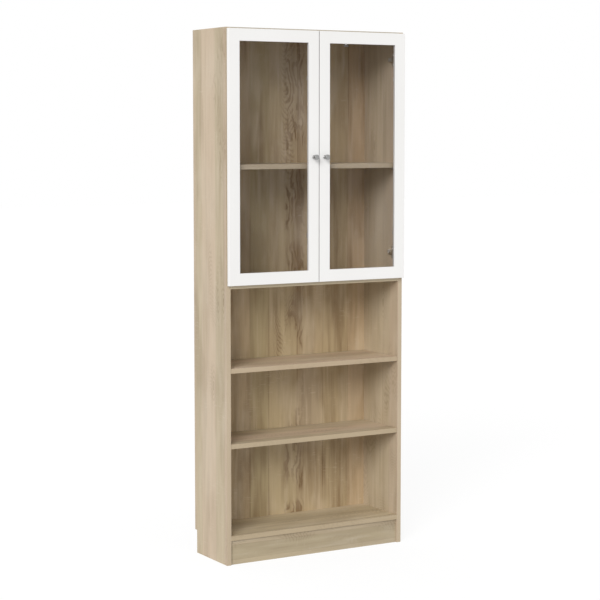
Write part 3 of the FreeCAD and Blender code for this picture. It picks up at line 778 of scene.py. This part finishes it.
material, tree, output = new_material("beech")
axes = object_axes(tree)
grain_lines = noise_by_rate(tree, axes, BEECH_RATES, detail=3.0)
flutes = noise_by_rate(tree, axes, FLUTE_RATES, detail=0.0)
beech = {
    "Base Color": mixed(grain_lines, BEECH, BEECH_LINES),
    "Roughness": flutes * FLUTE_ROUGHNESS + BEECH_ROUGHNESS,
}
finish_with(tree, output, beech, flutes, FLUTE_RELIEF)
dress("dowels", material)

# ------------------------------------------------------------------------------------------------
# Shelf pins. Turned steel pegs pushed into the sides, whose thicker heads carry the loose
# shelves at four points each.
# ------------------------------------------------------------------------------------------------
PIN_RADIUS = 0.0025
PIN_HEAD = 0.0035
PIN_REACH = 0.009
PIN_SUNK = 0.008
PIN_EDGE = 0.0008
PIN_COLLAR = 0.0014
INSIDE = 0.376
PIN_LEVELS = (0.4425, 0.7305, 1.4985)
PIN_STEEL = (0.70, 0.69, 0.67, 1)

pin = turned(
    (
        (POLE, PIN_REACH),
        (0.75 * PIN_HEAD, PIN_REACH),
        (PIN_HEAD, PIN_REACH - PIN_EDGE),
        (PIN_HEAD, PIN_COLLAR),
        (PIN_HEAD, 0.0),
        (PIN_RADIUS, 0.0),
        (PIN_RADIUS, -PIN_SUNK),
        (POLE, -PIN_SUNK),
    ),
    count=44,
    turns=28,
)
pins = []
for inward in (1.0, -1.0):
    places = [(-inward * INSIDE, row, level) for row in CAM_ROWS for level in PIN_LEVELS]
    pins += placed_copies(pin, places, (inward, 0.0, 0.0))
pin_steel = metal("pin_steel", PIN_STEEL, roughness=0.27)
shelf_pegs = closed_pieces("turned_pins", pins, pin_steel, "case")
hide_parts("shelf_pins")

# ------------------------------------------------------------------------------------------------
# Wall brackets. Zinc-plated steel angles under the top panel against the back, each held by
# a pan-head screw, with a hole for the screw into the wall.
# ------------------------------------------------------------------------------------------------
BRACKET_ACROSS = 0.286
BRACKET_SCREW = (0.124, 2.010)
BRACKET_HEAD = (0.0040, 0.0016)
ZINC_PLATE = (0.68, 0.68, 0.66, 1)

zinc_plate = metal("zinc_plate", ZINC_PLATE, roughness=0.38, spread=0.16)
dress("wall_brackets", zinc_plate)


def screw_head(radius, height):
    """A low domed head with a driver's cross, as a turned piece that stands on its own XY."""
    corners = (
        (POLE, height),
        (0.45 * radius, 0.97 * height),
        (0.85 * radius, 0.68 * height),
        (radius, 0.22 * height),
        (radius, 0.0),
        (0.5 * radius, 0.0),
        (POLE, 0.0),
    )
    cross = (0.13 * radius, 0.50 * radius, 0.75 * height)
    return turned(corners, count=26, turns=36, cross=cross)


places = [(east, *BRACKET_SCREW) for east in (-BRACKET_ACROSS, BRACKET_ACROSS)]
closed_pieces(
    "bracket_screws",
    placed_copies(screw_head(*BRACKET_HEAD), places, DOWN),
    bright_steel,
    "case",
)

# ------------------------------------------------------------------------------------------------
# Door frames. Wood under a silk white lacquer, with softly broken edges and a rebate behind
# for the pane. The meeting edges and the faces inside the windows are painted grey as painted
# shade.
# ------------------------------------------------------------------------------------------------
WHITE = (0.850, 0.842, 0.828, 1)
WHITE_SHADE = (0.820, 0.810, 0.792, 1)
PAINTED_SHADE_GREY = (0.520, 0.505, 0.500, 1)
DOOR_FACE = -0.131
DOOR_REAR = -0.113
EDGE_ROUND = 0.0012
OUTER_EDGES = 0.370
COAT_BLEND = 0.001
REAR_BLEND = 0.0006
PEEL_RATES = (420.0, 420.0, 420.0)
CLOUDING_RATES = (5.0, 5.0, 2.5)
GRAIN_RATES = (90.0, 90.0, 5.0)
CLOUDING_SLOPE = (0.3, 0.8)
CLOUDING_SHARE = 0.6
GRAIN_SHARE = 0.15
LACQUER_ROUGHNESS = 0.30
PEEL_ROUGHNESS = 0.10
CLOUDING_ROUGHNESS = 0.08
LACQUER_SPECULAR = 0.4
PEEL_HEIGHT = 0.7
GRAIN_HEIGHT = 0.3
LACQUER_RELIEF = 0.00006

material, tree, output = new_material("white_lacquer")
axes = object_axes(tree)
east, north, _ = axes
# Painted shade: the side faces inside the windows and at the meeting edges turn grey, but the
# outer edges and the rear don't
past_round = (north - DOOR_FACE).between(0.8 * EDGE_ROUND, 1.6 * EDGE_ROUND)
outer = east.maths("ABSOLUTE").between(OUTER_EDGES, OUTER_EDGES + COAT_BLEND)
painted_shade_faces = past_round * (1 - outer) * (DOOR_REAR - north).between(0.0, REAR_BLEND)
peel = noise_by_rate(tree, axes, PEEL_RATES)
clouding = noise_by_rate(tree, axes, CLOUDING_RATES, detail=3.0)
under_grain = noise_by_rate(tree, axes, GRAIN_RATES, detail=3.0)
shade = clouding.between(*CLOUDING_SLOPE) * CLOUDING_SHARE + under_grain * GRAIN_SHARE
rough = (peel - 0.5) * PEEL_ROUGHNESS + clouding * CLOUDING_ROUGHNESS + LACQUER_ROUGHNESS
lacquer = {
    "Base Color": mixed(painted_shade_faces, mixed(shade, WHITE, WHITE_SHADE), PAINTED_SHADE_GREY),
    "Roughness": rough,
    "Specular IOR Level": LACQUER_SPECULAR,
}
relief = peel * PEEL_HEIGHT + under_grain * GRAIN_HEIGHT
finish_with(tree, output, lacquer, relief, LACQUER_RELIEF)
for door in ("left", "right"):
    dress(f"{door}_door_frame", material)

# ------------------------------------------------------------------------------------------------
# Panes. Clear float glass 4 mm thick, laid in the rebates from behind. Its index is set low, so
# that it mirrors little, and it lets the lamp and the light of the inside through.
# ------------------------------------------------------------------------------------------------
GLASS_TINT = (0.950, 0.962, 0.995, 1)
GLASS_SHADE = (0.855, 0.853, 0.872, 1)
GLASS_IOR = 1.10
WAVE_RATES = (6.0, 6.0, 3.0)
WAVE_RELIEF = 0.0001
WAVE_STRENGTH = 0.3
DUST_RATES = (700.0, 700.0, 700.0)
DUST_SLOPE = (0.55, 0.75)
DUST_ROUGHNESS = 0.03

material, tree, output = new_material("float_glass")
axes = object_axes(tree)
waves = noise_by_rate(tree, axes, WAVE_RATES, detail=1.0)
dust = noise_by_rate(tree, axes, DUST_RATES, detail=3.0)
bump = {"Height": waves, "Distance": WAVE_RELIEF, "Strength": WAVE_STRENGTH}
bump = Signal.add(tree, "ShaderNodeBump", inputs=bump)
glass = Signal.add(
    tree,
    "ShaderNodeBsdfPrincipled",
    inputs={
        "Base Color": GLASS_TINT,
        "Roughness": dust.between(*DUST_SLOPE) * DUST_ROUGHNESS,
        "IOR": GLASS_IOR,
        "Transmission Weight": 1.0,
        "Normal": bump,
    },
)
clear = Signal.add(tree, "ShaderNodeBsdfTransparent", inputs={"Color": GLASS_SHADE})
shadow = Signal.add(tree, "ShaderNodeLightPath", output="Is Shadow Ray")
passing = shadow.maths("MAXIMUM", shadow.beside("Is Diffuse Ray"))
pane = Signal.add(tree, "ShaderNodeMixShader", inputs={0: passing, 1: glass, 2: clear})
tree.links.new(pane.socket, output.inputs["Surface"])
for door in ("left", "right"):
    dress(f"{door}_glass", material)

# ------------------------------------------------------------------------------------------------
# Glass clips. Small stamped steel plates screwed to the rear of the frame, whose feet press on
# the edge of the pane.
# ------------------------------------------------------------------------------------------------
CLIP_REAR = -0.1116
CLIP_SCREW_BEYOND = 0.0045
REBATE_X = (-0.351, -0.0415)
REBATE_Z = (1.107, 1.985)
CLIP_MIDDLE = -0.19625
CLIP_LEVELS = (1.246, 1.846)
CLIP_HEAD = (0.0030, 0.0011)
CLIP_STEEL = (0.67, 0.66, 0.64, 1)

clip_steel = metal("clip_steel", CLIP_STEEL, roughness=0.30, brushed=(1.0, 1.0, 0.08))
clip_columns = (REBATE_X[0] - CLIP_SCREW_BEYOND, REBATE_X[1] + CLIP_SCREW_BEYOND)
clip_rows = (REBATE_Z[0] - CLIP_SCREW_BEYOND, REBATE_Z[1] + CLIP_SCREW_BEYOND)
clip_spots = [(east, level) for east in clip_columns for level in CLIP_LEVELS]
clip_spots += [(CLIP_MIDDLE, level) for level in clip_rows]
for door, mirror in (("left", 1), ("right", -1)):
    dress(f"{door}_glass_clips", clip_steel)
    places = [(mirror * east, CLIP_REAR, level) for east, level in clip_spots]
    heads = placed_copies(screw_head(*CLIP_HEAD), places, REAR_WAY)
    closed_pieces(f"{door}_clip_screws", heads, bright_steel, f"{door}_door")

# ------------------------------------------------------------------------------------------------
# Knobs. Turned metal under a satin nickel plate: a foot, a narrow neck and a flat head with
# a shallow ring. A screw through the frame holds each from behind.
# ------------------------------------------------------------------------------------------------
KNOB_ACROSS = 0.0245
KNOB_LEVEL = 1.546
KNOB_REACH = 0.0250
KNOB_DISH = 0.0243
HEAD_RADIUS = 0.0098
FOOT_RADIUS = 0.0074
KNOB_SCREW_HEAD = (0.0040, 0.0017)
SATIN_NICKEL = (0.38, 0.38, 0.375, 1)
FORWARD = (0.0, -1.0, 0.0)

knob = turned(
    (
        (POLE, KNOB_DISH),
        (0.0040, KNOB_DISH),
        (0.0052, KNOB_DISH),
        (0.0058, KNOB_REACH),
        (0.0076, KNOB_REACH),
        (HEAD_RADIUS, 0.0246),
        (HEAD_RADIUS, 0.0222),
        (HEAD_RADIUS, 0.0170),
        (HEAD_RADIUS, 0.0136),
        (0.0078, 0.0128),
        (0.0052, 0.0112),
        (0.0050, 0.0075),
        (0.0055, 0.0040),
        (FOOT_RADIUS, 0.0030),
        (FOOT_RADIUS, 0.0008),
        (FOOT_RADIUS, 0.0),
        (POLE, 0.0),
    ),
    count=90,
    turns=72,
)
satin_nickel = metal("satin_nickel", SATIN_NICKEL, roughness=0.34, brushed=(1.0, 0.1, 1.0))
for door, mirror in (("left", -1), ("right", 1)):
    place = (mirror * KNOB_ACROSS, DOOR_FACE, KNOB_LEVEL)
    knob_piece = closed_pieces(
        f"{door}_turned_knob",
        placed_copies(knob, [place], FORWARD),
        satin_nickel,
        f"{door}_door",
    )
    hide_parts(f"{door}_knob")
    place = (mirror * KNOB_ACROSS, DOOR_REAR, KNOB_LEVEL)
    heads = placed_copies(screw_head(*KNOB_SCREW_HEAD), [place], REAR_WAY)
    closed_pieces(f"{door}_knob_screw", heads, bright_steel, f"{door}_door")

# ------------------------------------------------------------------------------------------------
# Bumpers. Square pads of soft clear plastic stuck to the rear of each frame, which meet the
# edge of the case when the door closes.
# ------------------------------------------------------------------------------------------------
BUMPER_HALF = 0.004
BUMPER_HEIGHT = 0.002
BUMPER_ACROSS = 0.0615
BUMPER_LEVELS = (1.072, 2.020)
CLEAR_PLASTIC = (0.700, 0.705, 0.690, 1)
CLOUDY_PLASTIC = (0.560, 0.565, 0.550, 1)
CLOUDY_RATES = (500.0, 500.0, 500.0)
CLOUDY_ROUGHNESS = 0.15
PLASTIC_ROUGHNESS = 0.22
PLASTIC_COAT = 0.3
PLASTIC_RELIEF = 0.00005

material, tree, output = new_material("soft_plastic")
cloudy = noise_by_rate(tree, object_axes(tree), CLOUDY_RATES)
soft_plastic = {
    "Base Color": mixed(cloudy, CLEAR_PLASTIC, CLOUDY_PLASTIC),
    "Roughness": cloudy * CLOUDY_ROUGHNESS + PLASTIC_ROUGHNESS,
    "Coat Weight": PLASTIC_COAT,
}
finish_with(tree, output, soft_plastic, cloudy, PLASTIC_RELIEF)


def square_pad(half, height, turns=48, steps=14, squareness=0.4):
    """Rings of a domed square pad. Each ring is a superellipse: the cosine and the sine of the
    turn, raised to the squareness with their signs kept. The height falls as the root of 1 less
    the ring's size to the sixth, and the last three rings are the flat foot."""
    turn = np.linspace(0.0, 2 * math.pi, turns, endpoint=False)
    rim = np.stack([np.cos(turn), np.sin(turn)], 1)
    rim = np.sign(rim) * np.abs(rim) ** squareness
    size = np.sin(np.linspace(0.02, 1.0, steps) * math.pi / 2)
    tall = height * np.sqrt(np.clip(1.0 - size**6, 0.0, 1.0))
    foot = np.array([0.9, 0.5, 0.02])
    size = np.concatenate([size, foot])
    tall = np.concatenate([tall, np.zeros(len(foot))])
    flat = half * size[:, None, None] * rim[None]
    return np.concatenate([flat, np.repeat(tall[:, None, None], turns, 1)], 2)


for door, mirror in (("left", -1), ("right", 1)):
    places = [(mirror * BUMPER_ACROSS, DOOR_REAR, level) for level in BUMPER_LEVELS]
    pads = placed_copies(square_pad(BUMPER_HALF, BUMPER_HEIGHT), places, REAR_WAY)
    pad_piece = closed_pieces(f"{door}_soft_pads", pads, material, f"{door}_door")
    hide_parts(f"{door}_bumpers")

# ------------------------------------------------------------------------------------------------
# Hinges. Concealed cup hinges of nickel-plated steel: a pressed cup let into the rear of the
# frame, a pin, a swan-neck arm, and a plate screwed to the side panel.
# ------------------------------------------------------------------------------------------------
HINGE_LEVELS = (1.167, 1.925)
CUP_SCREW = (0.364, -0.1118, 0.024)
PLATE_SCREW = (0.374, -0.074, 0.016)
ARM_SCREWS = ((0.3668, -0.090), (0.3668, -0.058))
CUP_SCREW_HEAD = (0.0034, 0.0010)
PLATE_SCREW_HEAD = (0.0036, 0.0011)
ARM_SCREW_HEAD = (0.0032, 0.0016)
PRESSED_NICKEL = (0.73, 0.71, 0.67, 1)
PLATED_ARM = (0.74, 0.725, 0.69, 1)

cup_steel = metal("pressed_nickel", PRESSED_NICKEL, roughness=0.38, brushed=(1.0, 1.0, 0.15))
arm_steel = metal("plated_arm", PLATED_ARM, roughness=0.40, brushed=(1.0, 0.1, 1.0))
for door, mirror in (("left", -1), ("right", 1)):
    dress(f"{door}_hinge_cups", cup_steel)
    dress(f"{door}_hinge_pins", bright_steel)
    dress(f"{door}_hinge_arms", arm_steel)
    dress(f"{door}_hinge_plates", cup_steel)
    east, north, step = CUP_SCREW
    places = [(mirror * east, north, z + s) for z in HINGE_LEVELS for s in (-step, step)]
    heads = placed_copies(screw_head(*CUP_SCREW_HEAD), places, REAR_WAY)
    closed_pieces(f"{door}_cup_screws", heads, bright_steel, f"{door}_door")
    inward = (-mirror, 0.0, 0.0)
    east, north, step = PLATE_SCREW
    places = [(mirror * east, north, z + s) for z in HINGE_LEVELS for s in (-step, step)]
    heads = placed_copies(screw_head(*PLATE_SCREW_HEAD), places, inward)
    places = [(mirror * east, north, z) for z in HINGE_LEVELS for east, north in ARM_SCREWS]
    heads += placed_copies(screw_head(*ARM_SCREW_HEAD), places, inward)
    closed_pieces(f"{door}_plate_screws", heads, bright_steel, "case")

# ------------------------------------------------------------------------------------------------
# Floor. A wide plain pale sheet under the case, and not part of it. It shows almost white to
# the camera, in mirrors and through glass, and keeps the soft shadow of the case.
# ------------------------------------------------------------------------------------------------
FLOOR_HALF = 30.0
FLOOR_COLOUR = (0.72, 0.72, 0.72, 1)
SHOWN_WHITE = 0.76
FLOOR_GLOW = 1.12
WHITE_LIGHT = (1, 1, 1, 1)


def seen_rays(tree):
    """1 for the rays that show a background: from the camera, off a mirror or through glass."""
    seen = Signal.add(tree, "ShaderNodeLightPath", output="Is Camera Ray")
    mirrored = seen.maths("MAXIMUM", seen.beside("Is Glossy Ray"))
    return mirrored.maths("MAXIMUM", seen.beside("Is Transmission Ray"))


floor_mesh = bpy.data.meshes.new("floor")
corners = FLOOR_HALF * np.array([(-1, -1, 0), (1, -1, 0), (1, 1, 0), (-1, 1, 0)])
floor_mesh.from_pydata(corners.tolist(), [], [(0, 1, 2, 3)])
floor = bpy.data.objects.new("floor", floor_mesh)
bpy.context.scene.collection.objects.link(floor)
material, tree, output = new_material("pale_floor")
lit = Signal.add(tree, "ShaderNodeBsdfDiffuse", inputs={"Color": FLOOR_COLOUR})
glow = {"Color": WHITE_LIGHT, "Strength": FLOOR_GLOW}
glow = Signal.add(tree, "ShaderNodeEmission", inputs=glow)
shown = Signal.add(
    tree, "ShaderNodeMixShader", inputs={0: seen_rays(tree) * SHOWN_WHITE, 1: lit, 2: glow}
)
tree.links.new(shown.socket, output.inputs["Surface"])
floor_mesh.materials.append(material)

# ------------------------------------------------------------------------------------------------
# Light. A plain sky all round and one broad soft lamp from the front left, above. The sky
# shows white as the floor does, and lights the case with less than that.
# ------------------------------------------------------------------------------------------------
SKY_LIGHT = 0.64
KEY_STRENGTH = 2.08
KEY_SPREAD = 0.50
KEY_ROUND = 46.0
KEY_HIGH = 27.0

world = bpy.data.worlds.new("studio")
bpy.context.scene.world = world
world.use_nodes = True
tree = world.node_tree
tree.nodes.clear()
strength = seen_rays(tree) * (1 - SKY_LIGHT) + SKY_LIGHT
sky = {"Color": WHITE_LIGHT, "Strength": strength}
sky = Signal.add(tree, "ShaderNodeBackground", inputs=sky)
output = tree.nodes.new("ShaderNodeOutputWorld")
tree.links.new(sky.socket, output.inputs["Surface"])

key = bpy.data.objects.new("key_lamp", bpy.data.lights.new("key_lamp", "SUN"))
key.data.energy = KEY_STRENGTH
key.data.angle = KEY_SPREAD
key.rotation_euler = (math.radians(90 - KEY_HIGH), 0.0, math.radians(-KEY_ROUND))
bpy.context.scene.collection.objects.link(key)

# ------------------------------------------------------------------------------------------------
# Camera. A long lens at eye height to the left of the front, tilted down a little, with its
# frame shifted down by 3 percent of the width.
# ------------------------------------------------------------------------------------------------
LENS = 105.757
CAMERA_PLACE = (-3.478756, -5.924210, 1.642347)
CAMERA_ROUND = 30.356
CAMERA_TILT = 4.869
CAMERA_SHIFT = -0.03
SENSOR_WIDTH = 36.0
SEES_AS_FAR = 200.0

camera = bpy.data.objects.new("camera", bpy.data.cameras.new("camera"))
camera.data.sensor_width = SENSOR_WIDTH
camera.data.lens = LENS
camera.data.shift_y = CAMERA_SHIFT
camera.data.clip_end = SEES_AS_FAR
camera.location = CAMERA_PLACE
camera.rotation_euler = (math.radians(90 - CAMERA_TILT), 0.0, math.radians(-CAMERA_ROUND))
bpy.context.scene.collection.objects.link(camera)
bpy.context.scene.camera = camera
bpy.context.scene.view_settings.view_transform = "Standard"
